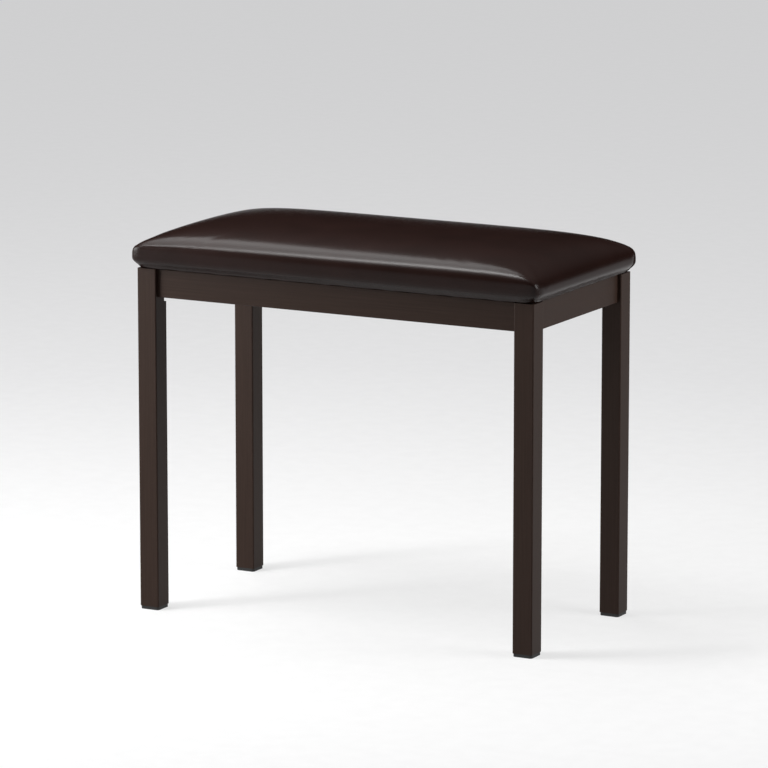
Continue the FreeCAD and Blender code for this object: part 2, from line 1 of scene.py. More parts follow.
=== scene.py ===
# %% [markdown]
# # A padded bench
# The bench has a dark lacquered frame of four square legs and four aprons, and one crowned vinyl cushion.
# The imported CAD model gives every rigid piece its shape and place, so the script keeps those pieces and
# gives them finishes. It makes anew what the CAD keeps plain: the stuffed cushion, the cloth under the
# seat, and the fasteners with their threads and drives.

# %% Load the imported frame
import math

import bmesh
import bpy
import numpy as np
from mathutils import Matrix, Vector


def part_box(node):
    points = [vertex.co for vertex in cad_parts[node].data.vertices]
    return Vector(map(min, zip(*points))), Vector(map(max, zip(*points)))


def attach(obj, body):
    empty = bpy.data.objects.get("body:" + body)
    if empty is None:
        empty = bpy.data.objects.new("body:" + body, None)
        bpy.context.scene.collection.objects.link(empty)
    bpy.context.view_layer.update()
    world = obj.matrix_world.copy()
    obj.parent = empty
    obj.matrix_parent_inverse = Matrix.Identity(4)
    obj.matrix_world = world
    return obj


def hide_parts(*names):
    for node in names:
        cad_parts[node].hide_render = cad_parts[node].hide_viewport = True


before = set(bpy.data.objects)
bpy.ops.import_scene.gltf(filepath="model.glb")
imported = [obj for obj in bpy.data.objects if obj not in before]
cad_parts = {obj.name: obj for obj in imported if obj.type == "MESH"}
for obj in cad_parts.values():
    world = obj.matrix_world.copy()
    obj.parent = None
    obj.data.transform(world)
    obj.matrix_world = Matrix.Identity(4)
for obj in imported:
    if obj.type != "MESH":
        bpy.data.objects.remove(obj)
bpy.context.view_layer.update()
scene = bpy.context.scene
scene.view_settings.view_transform = "Standard"
MM = 0.001

# %% [markdown]
# ## The camera
# The photograph was taken from far away with a long lens, a little to the right of the front and a little
# above the seat. A camera could be placed by eye, but the legs give four upright edges and eight feet
# corners to fit one to, and the fit gave this place, turn and lens.

# %% Camera
CAMERA_PLACE = (2.8692, -5.3220, 1.4655)
CAMERA_TURN = math.radians(28.323)
CAMERA_PITCH = math.radians(11.054)
CAMERA_LENS = 236.66
SENSOR_WIDTH = 36.0

camera = bpy.data.objects.new("camera", bpy.data.cameras.new("camera"))
scene.collection.objects.link(camera)
camera.location = CAMERA_PLACE
camera.rotation_euler = (math.pi / 2 - CAMERA_PITCH, 0, CAMERA_TURN)
camera.data.lens = CAMERA_LENS
camera.data.sensor_width = SENSOR_WIDTH
scene.camera = camera
print("camera", [round(value, 3) for value in camera.location])

# %% [markdown]
# ## Small helpers
# Colours are written as the sRGB hex values that one reads off a screen, and the shader wants linear
# light, so one function turns them. Another adds a node with its settings and links. A third makes a
# finished mesh object from a bmesh, at the origin, so that patterns on Object coordinates are in real
# metres on every piece.

# %% Helpers
def linear(hex_colour):
    """Linear RGBA of an sRGB hex colour such as #2b211e."""
    shares = [int(hex_colour[start:start + 2], 16) / 255 for start in (1, 3, 5)]
    light = [share / 12.92 if share <= 0.04045 else ((share + 0.055) / 1.055) ** 2.4 for share in shares]
    return [*light, 1.0]


def add_node(tree, kind, inputs=(), stops=(), **settings):
    """Add a node: settings are its own properties, inputs are pairs of a socket and a value or an output, and
    stops are pairs of a place and a colour along a colour ramp."""
    made = tree.nodes.new(kind)
    for name, value in settings.items():
        setattr(made, name, value)
    for socket, value in inputs:
        if isinstance(value, bpy.types.NodeSocket):
            tree.links.new(value, made.inputs[socket])
        else:
            made.inputs[socket].default_value = value
    for index, (place, colour) in enumerate(stops):
        stop = made.color_ramp.elements[index] if index < 2 else made.color_ramp.elements.new(place)
        stop.position = place
        stop.color = linear(colour)
    return made


def new_material(name):
    """An empty node material, with its tree."""
    material = bpy.data.materials.new(name)
    material.use_nodes = True
    material.node_tree.nodes.clear()
    return material, material.node_tree


def per_mm(size):
    """Texture scale, in repeats per metre, of a pattern whose repeat is so many millimetres."""
    return 1 / (size * MM)


def piece_from(shape, name, material, smooth=True):
    """Turn a bmesh into a finished mesh object at the origin, with its faces in a fixed order: the operators
    leave them in an order that changes from run to run, and Cloth then settles a little differently."""
    mesh = bpy.data.meshes.new(name)
    shape.to_mesh(mesh)
    shape.free()
    places = [tuple(vert.co) for vert in mesh.vertices]
    faces = []
    for face in mesh.polygons:
        ring = list(face.vertices)
        first = ring.index(min(ring))
        faces.append(ring[first:] + ring[:first])
    mesh.clear_geometry()
    mesh.from_pydata(places, [], sorted(faces))
    mesh.polygons.foreach_set("use_smooth", [smooth] * len(mesh.polygons))
    piece = bpy.data.objects.new(name, mesh)
    scene.collection.objects.link(piece)
    mesh.materials.append(material)
    return piece


print("helpers ready")

# %% [markdown]
# ## The studio
# The bench stands on a seamless pale sheet, and a painted pool of light makes it brighter near
# the bench and greyer behind it. Light comes from a bank overhead to the left, from two lamps low on the
# left, from a weak one on the right and from a dim ceiling. A narrow strip high at the front left is what
# the cushion's front shoulder mirrors as a long soft highlight, and the room behind is dark, so the top
# stays deep brown at this low angle. The sheet could be white and lit, but a white floor throws so much
# light upwards that the frame's faces turn grey. So its own colour is mid grey, which keeps the shadow,
# and what the camera and mirrors see of it is lifted.

# %% Floor
FLOOR_REACH = 40.0
LIGHT_POOL_REACH = 8.0

floor_sheet, tree = new_material("paper_sweep")
place = add_node(tree, "ShaderNodeTexCoord").outputs["Object"]
# Painted pool of light: the lifted colour that the camera and mirrors see is brightest near the bench and
# greyer further off, standing in for the lamps' fall-off.
distance = add_node(tree, "ShaderNodeVectorMath", [(0, place)], operation="LENGTH").outputs["Value"]
share = add_node(tree, "ShaderNodeMath", [(0, distance), (1, LIGHT_POOL_REACH)], operation="DIVIDE")
lift = add_node(tree, "ShaderNodeValToRGB", [("Fac", share.outputs["Value"])],
                [(0.05, "#d5d5d5"), (0.75, "#c8c8c9"), (0.2, "#cacacb")])
path = add_node(tree, "ShaderNodeLightPath")
seen = path.outputs["Is Camera Ray"]
for ray in ("Is Glossy Ray", "Is Transmission Ray"):
    total = add_node(tree, "ShaderNodeMath", [(0, seen), (1, path.outputs[ray])], operation="ADD")
    seen = total.outputs["Value"]
fibres = add_node(tree, "ShaderNodeTexNoise", [("Vector", place), ("Scale", 40.0), ("Detail", 2.0)])
grey = add_node(tree, "ShaderNodeValToRGB", [("Fac", fibres.outputs["Fac"])],
                [(0.3, "#868686"), (0.7, "#8b8b8b")])
surface = add_node(tree, "ShaderNodeBsdfPrincipled", [
    ("Base Color", grey.outputs["Color"]),
    ("Roughness", 0.6),
    ("Specular IOR Level", 0.2),
    ("Emission Color", lift.outputs["Color"]),
    ("Emission Strength", seen),
])
add_node(tree, "ShaderNodeOutputMaterial", [("Surface", surface.outputs["BSDF"])])
sheet = bmesh.new()
bmesh.ops.create_grid(sheet, x_segments=1, y_segments=1, size=FLOOR_REACH)
floor = piece_from(sheet, "floor", floor_sheet)
print("floor", FLOOR_REACH * 2, "m square")

# %% World
CEILING_GLOW = 0.3
HORIZON = "#1a1a1b"
CEILING = "#ffffff"

world = bpy.data.worlds.new("studio")
scene.world = world
world.use_nodes = True
tree = world.node_tree
tree.nodes.clear()
direction = add_node(tree, "ShaderNodeTexCoord").outputs["Generated"]
height = add_node(tree, "ShaderNodeSeparateXYZ", [("Vector", direction)]).outputs["Z"]
glow = add_node(tree, "ShaderNodeValToRGB", [("Fac", height)], [(0.30, HORIZON), (0.95, CEILING)])
background = add_node(tree, "ShaderNodeBackground",
                      [("Color", glow.outputs["Color"]), ("Strength", CEILING_GLOW)])
add_node(tree, "ShaderNodeOutputWorld", [("Surface", background.outputs["Background"])])
print("ceiling glow", CEILING_GLOW)

# %% Lamps
LAMPS = {
    # name: place, point aimed at, width, depth, watts
    "overhead_bank": ((-1.2, 0.1, 2.55), (0.0, 0.0, 0.45), 2.2, 1.3, 34.0),
    "ridge_strip": ((-1.15, -1.1, 2.1), (-1.25, -1.0, 0.45), 2.4, 0.3, 50.0),
    "left_bank": ((-1.9, -1.0, 0.95), (0.0, 0.0, 0.4), 1.0, 0.8, 7.0),
    "left_key": ((-1.1, -0.75, 0.55), (0.0, 0.0, 0.38), 0.5, 0.5, 8.0),
    "right_fill": ((1.2, 0.15, 0.8), (0.0, 0.0, 0.4), 0.6, 0.6, 8.0),
}

for name, (spot, aim, width, depth, watts) in LAMPS.items():
    lamp = bpy.data.lights.new(name, "AREA")
    lamp.shape = "RECTANGLE"
    lamp.size = width
    lamp.size_y = depth
    lamp.energy = watts
    holder = bpy.data.objects.new(name, lamp)
    holder.location = spot
    holder.rotation_euler = (Vector(aim) - Vector(spot)).to_track_quat("-Z", "Y").to_euler()
    scene.collection.objects.link(holder)
print("lamps", list(LAMPS))

# %% [markdown]
# ## Lacquered frame
# The legs and aprons are hardwood, sprayed with a dark brown satin lacquer. The coat hides the figure,
# but the pores still run along each piece as faint streaks, and sprayed lacquer dries with a slight
# orange peel. The streaks are noise stretched along the piece, so the finish is made once for each
# direction of the wood.

# %% Lacquered hardwood
# Pores are drawn a good deal wider than real ones, in mm, so that they show at this distance.
PORE_WIDTH = 1.6
PORE_LENGTH = 90.0
PEEL_SIZE = 2.2


def lacquered_hardwood(along):
    """Satin brown lacquer: an even hue, and a sheen broken a little by pores and orange peel."""
    material, tree = new_material(f"lacquered_hardwood_{along.lower()}")
    place = add_node(tree, "ShaderNodeTexCoord").outputs["Object"]
    stretch = [per_mm(PORE_LENGTH) if axis == along else per_mm(PORE_WIDTH) for axis in "XYZ"]
    fibres = add_node(tree, "ShaderNodeMapping", [("Vector", place), ("Scale", stretch)])
    pores = add_node(tree, "ShaderNodeTexNoise",
                     [("Vector", fibres.outputs["Vector"]), ("Scale", 1.0), ("Detail", 3.0)])
    peel = add_node(tree, "ShaderNodeTexNoise",
                    [("Vector", place), ("Scale", per_mm(PEEL_SIZE)), ("Detail", 1.0)])
    pore_relief = add_node(tree, "ShaderNodeBump", [("Height", pores.outputs["Fac"]), ("Strength", 0.25),
                                                    ("Distance", 0.05 * MM)])
    peel_relief = add_node(tree, "ShaderNodeBump", [("Height", peel.outputs["Fac"]), ("Strength", 0.3),
                                                    ("Distance", 0.04 * MM),
                                                    ("Normal", pore_relief.outputs["Normal"])])
    brown = add_node(tree, "ShaderNodeValToRGB", [("Fac", pores.outputs["Fac"])],
                     [(0.3, "#30221b"), (0.7, "#372821")])
    sheen = add_node(tree, "ShaderNodeMapRange",
                     [("Value", pores.outputs["Fac"]), ("To Min", 0.44), ("To Max", 0.54)])
    surface = add_node(tree, "ShaderNodeBsdfPrincipled", [
        ("Base Color", brown.outputs["Color"]),
        ("Roughness", sheen.outputs["Result"]),
        ("Specular IOR Level", 0.16),
        ("Normal", peel_relief.outputs["Normal"]),
    ])
    add_node(tree, "ShaderNodeOutputMaterial", [("Surface", surface.outputs["BSDF"])])
    return material


wood = {axis: lacquered_hardwood(axis) for axis in "XYZ"}
for name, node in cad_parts.items():
    if name.startswith("leg_"):
        node.data.materials[0] = wood["Z"]
    elif name in ("apron_front", "apron_rear"):
        node.data.materials[0] = wood["X"]
    elif name in ("apron_left", "apron_right"):
        node.data.materials[0] = wood["Y"]
print("lacquered", [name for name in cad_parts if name.startswith(("leg_", "apron_"))])

# %% [markdown]
# ## Foot pads
# Under each leg sits a thin black pad, moulded from polyethylene. Such a moulding is matt, with the fine
# spark texture of its mould.

# %% Moulded polyethylene
# Drawn coarser than a real spark texture, in mm, so that it shows.
SPARK_SIZE = 0.5

polyethylene, tree = new_material("moulded_polyethylene")
place = add_node(tree, "ShaderNodeTexCoord").outputs["Object"]
spark = add_node(tree, "ShaderNodeTexNoise",
                 [("Vector", place), ("Scale", per_mm(SPARK_SIZE)), ("Detail", 2.0)])
relief = add_node(tree, "ShaderNodeBump", [("Height", spark.outputs["Fac"]), ("Strength", 0.4),
                                           ("Distance", 0.05 * MM)])
black = add_node(tree, "ShaderNodeValToRGB", [("Fac", spark.outputs["Fac"])],
                 [(0.3, "#0d0d0d"), (0.7, "#151514")])
sheen = add_node(tree, "ShaderNodeMapRange",
                 [("Value", spark.outputs["Fac"]), ("To Min", 0.50), ("To Max", 0.62)])
surface = add_node(tree, "ShaderNodeBsdfPrincipled", [
    ("Base Color", black.outputs["Color"]),
    ("Roughness", sheen.outputs["Result"]),
    ("IOR", 1.51),
    ("Normal", relief.outputs["Normal"]),
])
add_node(tree, "ShaderNodeOutputMaterial", [("Surface", surface.outputs["BSDF"])])
for name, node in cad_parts.items():
    if name.startswith("foot_pad_"):
        node.data.materials[0] = polyethylene
print("foot pads finished")

# %% [markdown]
# ## Zinc-plated steel, staple wire and plywood
# The brackets, washers and nuts under the seat are zinc-plated steel: bright grey, cooler and warmer in
# soft patches where the passivation is thicker. The staples are galvanised wire, drawn and so brushed
# along. The seat board is raw plywood, and its face veneer has a straight grain.

# %% Zinc, wire and plywood
PATCH_SIZE = 9.0
# Scratches are drawn wider than real ones, in mm, so that they show.
SCRATCH_WIDTH = 0.25
SCRATCH_LENGTH = 12.0
VENEER_WIDTH = 5.0
VENEER_LENGTH = 160.0


def plated_steel(name, dull, bright, roughest):
    """Bright plated steel: soft patches of tint, and a sheen broken by fine scratches."""
    material, tree = new_material(name)
    place = add_node(tree, "ShaderNodeTexCoord").outputs["Object"]
    patches = add_node(tree, "ShaderNodeTexNoise", [("Vector", place), ("Scale", per_mm(PATCH_SIZE))])
    lie = add_node(tree, "ShaderNodeMapping", [
        ("Vector", place),
        ("Scale", (per_mm(SCRATCH_WIDTH), per_mm(SCRATCH_WIDTH), per_mm(SCRATCH_LENGTH)))])
    scratches = add_node(tree, "ShaderNodeTexNoise",
                         [("Vector", lie.outputs["Vector"]), ("Scale", 1.0), ("Detail", 2.0)])
    tint = add_node(tree, "ShaderNodeValToRGB", [("Fac", patches.outputs["Fac"])],
                    [(0.35, dull), (0.65, bright)])
    sheen = add_node(tree, "ShaderNodeMapRange",
                     [("Value", scratches.outputs["Fac"]), ("To Min", 0.22), ("To Max", roughest)])
    surface = add_node(tree, "ShaderNodeBsdfPrincipled", [
        ("Base Color", tint.outputs["Color"]),
        ("Metallic", 1.0),
        ("Roughness", sheen.outputs["Result"]),
    ])
    add_node(tree, "ShaderNodeOutputMaterial", [("Surface", surface.outputs["BSDF"])])
    return material


zinc = plated_steel("zinc_plated_steel", "#b4b3a6", "#c9cacb", 0.42)
wire = plated_steel("galvanised_wire", "#a5a6a8", "#bcbdbe", 0.50)

veneer, tree = new_material("plywood_face_veneer")
place = add_node(tree, "ShaderNodeTexCoord").outputs["Object"]
lie = add_node(tree, "ShaderNodeMapping", [
    ("Vector", place), ("Scale", (per_mm(VENEER_LENGTH), per_mm(VENEER_WIDTH), per_mm(VENEER_WIDTH)))])
grain = add_node(tree, "ShaderNodeTexNoise",
                 [("Vector", lie.outputs["Vector"]), ("Scale", 1.0), ("Detail", 5.0), ("Distortion", 0.6)])
straw = add_node(tree, "ShaderNodeValToRGB", [("Fac", grain.outputs["Fac"])],
                 [(0.3, "#9a7247"), (0.7, "#c9a878")])
sheen = add_node(tree, "ShaderNodeMapRange",
                 [("Value", grain.outputs["Fac"]), ("To Min", 0.60), ("To Max", 0.75)])
surface = add_node(tree, "ShaderNodeBsdfPrincipled", [
    ("Base Color", straw.outputs["Color"]),
    ("Roughness", sheen.outputs["Result"]),
])
add_node(tree, "ShaderNodeOutputMaterial", [("Surface", surface.outputs["BSDF"])])
for name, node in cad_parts.items():
    if name.startswith(("corner_bracket_", "bolt_", "hanger_", "seat_screws")):
        node.data.materials[0] = zinc
    elif name.endswith("staples"):
        node.data.materials[0] = wire
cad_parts["seat_board"].data.materials[0] = veneer
print("metal and plywood finished")

# %% [markdown]
# ## The vinyl
# The cover is brown-black upholstery vinyl: a foamed plastic skin with a fine leather emboss and a
# semi-gloss top coat. At this distance the emboss only softens the highlight, so it is a shallow cell
# pattern. Broad faint patches of colour and sheen keep it from being flat.

# %% Embossed vinyl
EMBOSS_SIZE = 1.3
PATCH_BREADTH = 60.0

vinyl, tree = new_material("embossed_vinyl")
place = add_node(tree, "ShaderNodeTexCoord").outputs["Object"]
cells = add_node(tree, "ShaderNodeTexVoronoi", [("Vector", place), ("Scale", per_mm(EMBOSS_SIZE))],
                 feature="SMOOTH_F1")
breadth = add_node(tree, "ShaderNodeTexNoise", [("Vector", place), ("Scale", per_mm(PATCH_BREADTH))])
emboss = add_node(tree, "ShaderNodeBump", [("Height", cells.outputs["Distance"]), ("Strength", 0.22),
                                           ("Distance", 0.08 * MM)])
brown = add_node(tree, "ShaderNodeValToRGB", [("Fac", breadth.outputs["Fac"])],
                 [(0.3, "#201310"), (0.7, "#251613")])
sheen = add_node(tree, "ShaderNodeMapRange",
                 [("Value", breadth.outputs["Fac"]), ("To Min", 0.23), ("To Max", 0.27)])
surface = add_node(tree, "ShaderNodeBsdfPrincipled", [
    ("Base Color", brown.outputs["Color"]),
    ("Roughness", sheen.outputs["Result"]),
    ("Specular IOR Level", 0.17),
    ("Normal", emboss.outputs["Normal"]),
])
add_node(tree, "ShaderNodeOutputMaterial", [("Surface", surface.outputs["BSDF"])])
print("vinyl emboss", EMBOSS_SIZE, "mm")

# %% [markdown]
# ## The cushion's form
# A foam block on the seat board is drawn in by the stretched vinyl. Its middle crowns, its ends fall
# away, its corners are pulled low, and the lower edge is tucked in flush with the legs. The form starts
# as a flat grid. Each of its lines takes its place along a crowned section, so the faces stay even over
# the shoulders. The two sections join so that the lower one rules, which keeps the corners full. The
# grid's rim is then extruded ring by ring down the flare, round the tucked edge and under the board. A
# lid of triangles closes the pocket that the board sits in, as Cloth is very slow on one face of many
# corners.

# %% Cushion sizes
cover_low, cover_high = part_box("seat_cover")
board_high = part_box("seat_board")[1]
frame_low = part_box("leg_front_left")[0]
SEAT_PLANE = cover_low.z
BULGE_LEVEL = SEAT_PLANE + 12 * MM
CROWN_TOP = cover_high.z + 0.8 * MM
CROWN_HEIGHT = CROWN_TOP - BULGE_LEVEL
END_RISE, END_FLATNESS = 2.6, 5.3
SIDE_RISE, SIDE_FLATNESS = 5.0, 1.8
RIM_CORNER = 11 * MM
VINYL = 1 * MM
TUCK = 1.2 * MM
RETURN_REACH = 30 * MM
GRID_LENGTH, GRID_DEPTH = 144, 100
RIM_CROWDING = 1.35
# Lines that fall together at the rim stop the cloth solver without a word, so they keep this share apart.
LEAST_GAP = 2e-4

bulge_half = Vector((cover_high.x, cover_high.y))
frame_half = Vector((-frame_low.x, -frame_low.y))
board_half = Vector((board_high.x, board_high.y))
return_half = frame_half - Vector((RETURN_REACH, RETURN_REACH))
print("cushion, mm:", [round(value / MM, 1) for value in (*bulge_half, CROWN_HEIGHT)])


# %% Cushion sections
def stations(count, half_span, flatness, rise):
    """Shares of the half span for the grid's lines, spaced along the crowned section, closer at the rim."""
    turn = np.linspace(0, math.pi / 2, 4001)
    share = np.sin(turn) ** (2 / flatness)
    level = np.cos(turn) ** (2 / rise)
    steps = np.hypot(np.diff(share) * half_span, np.diff(level) * CROWN_HEIGHT)
    run = np.concatenate([[0], np.cumsum(steps)])
    wanted = run[-1] * (1 - (1 - np.linspace(0, 1, count // 2 + 1)) ** RIM_CROWDING)
    half = np.interp(wanted, run, share)
    half = np.minimum(half, 1 - LEAST_GAP * np.arange(count // 2, -1, -1))
    return np.concatenate([-half[:0:-1], half])


def rounded_plan(across, along, half, radius):
    """Plan of a rounded rectangle; across and along run from -1 to 1, and corners are pulled in smoothly."""
    pull = radius * (1 - math.sqrt(0.5))
    corner = abs(across) ** (half.x / (2 * pull)) * abs(along) ** (half.y / (2 * pull))
    return (half.x * across - math.copysign(pull * corner, across),
            half.y * along - math.copysign(pull * corner, along))


def crowned(across, along, fullness):
    """Height of the cushion over the bulge."""
    ends = (1 - abs(across) ** END_FLATNESS) ** (1 / END_RISE)
    sides = (1 - abs(along) ** SIDE_FLATNESS) ** (1 / SIDE_RISE)
    joined = math.sqrt(max(ends ** 2 + sides ** 2 - (ends * sides) ** 2, 1e-12))
    return CROWN_HEIGHT * fullness * ends * sides / joined


FLARE_STEPS = 5
rings = []
for step in range(1, FLARE_STEPS + 1):
    share = 1 - step / FLARE_STEPS
    inset = (bulge_half - frame_half) * (1 - math.sin(math.pi / 2 * share))
    rings.append((bulge_half - inset, SEAT_PLANE + TUCK + (BULGE_LEVEL - SEAT_PLANE - TUCK) * share))
rings += [
    (frame_half - Vector((0.3, 0.3)) * TUCK, SEAT_PLANE + 0.3 * TUCK),
    (frame_half - Vector((1, 1)) * TUCK, SEAT_PLANE),
    (frame_half - Vector((6, 6)) * TUCK, SEAT_PLANE),
    (return_half, SEAT_PLANE),
    (return_half, SEAT_PLANE + VINYL),
    (board_half, SEAT_PLANE + VINYL),
    (board_half, board_high.z),
]
print("rings below the rim:", len(rings))


# %% Cushion grid and rings
def new_verts(made):
    """The vertices among what an extrusion made."""
    return [item for item in made["geom"] if isinstance(item, bmesh.types.BMVert)]


def cap(shape, ring):
    """Close a ring of vertices round the Z axis by one face, its corners always in the same order."""
    return shape.faces.new(sorted(ring, key=lambda vert: math.atan2(vert.co.y, vert.co.x)))


def cushion_shape(fullness):
    """The closed cushion as a bmesh: crowned grid, rings round the tucked edge, and the lid of the pocket."""
    shape = bmesh.new()
    bmesh.ops.create_grid(shape, x_segments=GRID_LENGTH, y_segments=GRID_DEPTH, size=1)
    rim = [edge for edge in shape.edges if edge.is_boundary]
    for _ in rings:
        skirt = bmesh.ops.extrude_edge_only(shape, edges=rim)
        bmesh.ops.translate(shape, verts=new_verts(skirt), vec=(0, 0, -1))
        rim = [item for item in skirt["geom"] if isinstance(item, bmesh.types.BMEdge) and item.is_boundary]
    bmesh.ops.triangulate(shape, faces=[cap(shape, new_verts(skirt))])
    across = stations(GRID_LENGTH, bulge_half.x, END_FLATNESS, END_RISE)
    along = stations(GRID_DEPTH, bulge_half.y, SIDE_FLATNESS, SIDE_RISE)
    for vert in shape.verts:
        ring = round(-vert.co.z)
        u = across[round((vert.co.x + 1) / 2 * GRID_LENGTH)]
        v = along[round((vert.co.y + 1) / 2 * GRID_DEPTH)]
        half, level = rings[ring - 1] if ring else (bulge_half, BULGE_LEVEL + crowned(u, v, fullness))
        vert.co = (*rounded_plan(u, v, half, RIM_CORNER), level)
    bmesh.ops.recalc_face_normals(shape, faces=shape.faces)
    return shape


# %% [markdown]
# ## Inflating the cushion
# Foam under stretched vinyl behaves like a skin under pressure. The form starts a little low, and Cloth
# with pressure swells it while the underside is held. The movement is capped, so that the outline stays
# the photograph's, and softly, as a hard cap leaves a crease in the highlight. So the drawn form rules
# and the cloth only eases it. Afterwards the crown is brought to its height, and one subdivision smooths
# the skin.

# %% Inflate
START_FULLNESS = 0.985
PRESSURE = 4.0
LAST_FRAME = 20
MOST_SWELL = 1.2 * MM


def coordinates(mesh):
    """All vertices of a mesh as an array."""
    flat = np.empty(len(mesh.vertices) * 3)
    mesh.vertices.foreach_get("co", flat)
    return flat.reshape(-1, 3)


def set_coordinates(mesh, places):
    """Move all vertices of a mesh to the rows of an array."""
    mesh.vertices.foreach_set("co", places.ravel())
    mesh.update()


def inflate(piece):
    """Swell a closed skin by Cloth pressure, with what lies on the board held, and keep the result."""
    start = coordinates(piece.data)
    fixed = (start[:, 2] < SEAT_PLANE + 2 * TUCK) | (np.abs(start[:, 2] - board_high.z) < 1e-6)
    held = piece.vertex_groups.new(name="held")
    held.add([int(index) for index in np.nonzero(fixed)[0]], 1.0, "REPLACE")
    cloth = piece.modifiers.new("swell", "CLOTH")
    cloth.settings.quality = 6
    cloth.settings.use_pressure = True
    cloth.settings.uniform_pressure_force = PRESSURE
    cloth.settings.vertex_group_mass = held.name
    cloth.settings.effector_weights.gravity = 0
    cloth.collision_settings.use_collision = False
    for number in range(1, LAST_FRAME + 1):
        scene.frame_set(number)
    settled = piece.evaluated_get(bpy.context.evaluated_depsgraph_get())
    moved = coordinates(settled.data) - start
    piece.modifiers.remove(cloth)
    scene.frame_set(1)
    reach = np.linalg.norm(moved, axis=1, keepdims=True)
    moved *= MOST_SWELL / (MOST_SWELL + reach)
    set_coordinates(piece.data, start + moved)
    piece.vertex_groups.clear()
    return float(reach.max())


cushion = piece_from(cushion_shape(START_FULLNESS), "cushion", vinyl)
print("wanted to swell by up to, mm:", round(inflate(cushion) / MM, 2))

skin = coordinates(cushion.data)
above = skin[:, 2] > BULGE_LEVEL
stretch = CROWN_HEIGHT / (skin[:, 2].max() - BULGE_LEVEL)
skin[above, 2] = BULGE_LEVEL + (skin[above, 2] - BULGE_LEVEL) * stretch
set_coordinates(cushion.data, skin)
smooth = cushion.modifiers.new("smooth", "SUBSURF")
smooth.levels = 1
smooth.render_levels = 1
cushion.data = bpy.data.meshes.new_from_object(cushion.evaluated_get(bpy.context.evaluated_depsgraph_get()))
cushion.modifiers.remove(smooth)
print("cushion top, mm:", round(coordinates(cushion.data)[:, 2].max() / MM, 2))
print("cushion faces:", len(cushion.data.polygons))

# %% [markdown]
# ## Pleats and the stapled edge
# The vinyl has no sewn seams. At each corner the spare skin of the front is folded over the end, and the
# fold's edge stands a little proud, close to the corner at its top and further off below. The lower edge
# rises and swells a little in waves. Both are small moves of the finished skin, because a simulation
# would need far finer cloth to fold like that. Before them the bulge is brought back to its full width.

# %% Pleats and waves
FOLD_FOOT, FOLD_HEAD = 12 * MM, 4 * MM
FOLD_RISE = 34 * MM
FOLD_LIP, FOLD_LIP_RUN = 1.5 * MM, 5 * MM
FOLD_GROOVE, FOLD_GROOVE_RUN = 1.4 * MM, 2.6 * MM
WAVE_RUNS = (47 * MM, 29 * MM)
WAVE_RISE = 1.0 * MM
WAVE_SWELL = 0.45 * MM
FOLD_FADE = 0.6
END_BAND, END_FADE = 24 * MM, 12 * MM
END_CLEAR = 20 * MM
WIDTH_FADE = 8
END_SHIFT = 0.4

skin = coordinates(cushion.data)
x, y, z = skin.T
rise = z - SEAT_PLANE
outer = (np.abs(x) > frame_half.x - 2 * TUCK) | (np.abs(y) > frame_half.y - 2 * TUCK)
low = np.clip(1 - rise / (BULGE_LEVEL - SEAT_PLANE), 0, 1) * outer
on_skin = outer | (rise > board_high.z - SEAT_PLANE + VINYL)
plan = np.abs(skin[:, :2])
widest = plan.max(axis=0)
lift = np.clip(rise / (BULGE_LEVEL - SEAT_PLANE), 0, 1) * on_skin
lack = np.array(bulge_half) - widest
skin[:, :2] += np.sign(skin[:, :2]) * lack * (plan / widest) ** WIDTH_FADE * lift[:, None]
on_end = np.clip((np.abs(x) - bulge_half.x + END_BAND) / END_FADE, 0, 1) * (outer | (rise > END_CLEAR))

height = np.clip(rise / FOLD_RISE, 0, 1)
off = bulge_half.y - np.abs(y) - (FOLD_FOOT + (FOLD_HEAD - FOLD_FOOT) * height)
lip = np.where(off < 0, FOLD_LIP * np.exp(np.minimum(off, 0) / FOLD_LIP_RUN), 0)
groove = np.where(off < 0, 0, FOLD_GROOVE * np.exp(-np.maximum(off, 0) / FOLD_GROOVE_RUN))
fold = (lip - groove) * (1 - height) ** FOLD_FADE * on_end

along_edge = np.where(np.abs(x) > frame_half.x - 2 * TUCK, y + END_SHIFT * np.abs(x), x)
wave = sum(np.sin(2 * math.pi * along_edge / run) for run in WAVE_RUNS) / 4 + 0.5
skin[:, 0] += np.sign(x) * (fold + WAVE_SWELL * (wave - 0.5) * low * (np.abs(x) > frame_half.x - 2 * TUCK))
skin[:, 1] += np.sign(y) * WAVE_SWELL * (wave - 0.5) * low * (np.abs(y) > frame_half.y - 2 * TUCK)
skin[:, 2] += WAVE_RISE * wave * low
set_coordinates(cushion.data, skin)
print("folds and waves on", int((np.abs(fold) > 0.1 * MM).sum()), "points")

# %% Hand the cushion over
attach(cushion, "root")
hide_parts("seat_cover", "seat_foam")
print("cushion stands for the cover and the foam")

# %% [markdown]
# ## The dust cover
# Under the seat a thin black cloth of pressed fibres keeps the dust out. It is stapled along a turned-in
# hem, so it is stretched but hangs a little in the middle. A flat plate would do from afar. The grid is
# let down in the middle, a solidify gives it its thickness, and the hem is twice as thick as the rest.

# %% Spunbond cloth
DOT_PITCH = 2.4
FIBRE_SIZE = 0.7

spunbond, tree = new_material("spunbond_polypropylene")
place = add_node(tree, "ShaderNodeTexCoord").outputs["Object"]
dots = add_node(tree, "ShaderNodeTexVoronoi",
                [("Vector", place), ("Scale", per_mm(DOT_PITCH)), ("Randomness", 0.1)])
fibres = add_node(tree, "ShaderNodeTexNoise",
                  [("Vector", place), ("Scale", per_mm(FIBRE_SIZE)), ("Detail", 4.0)])
press = add_node(tree, "ShaderNodeMapRange", [("Value", dots.outputs["Distance"]), ("From Min", 0.15),
                                              ("From Max", 0.4)])
relief = add_node(tree, "ShaderNodeBump", [("Height", press.outputs["Result"]), ("Strength", 0.5),
                                           ("Distance", 0.15 * MM)])
black = add_node(tree, "ShaderNodeValToRGB", [("Fac", fibres.outputs["Fac"])],
                 [(0.3, "#131313"), (0.7, "#232323")])
sheen = add_node(tree, "ShaderNodeMapRange",
                 [("Value", press.outputs["Result"]), ("To Min", 0.55), ("To Max", 0.85)])
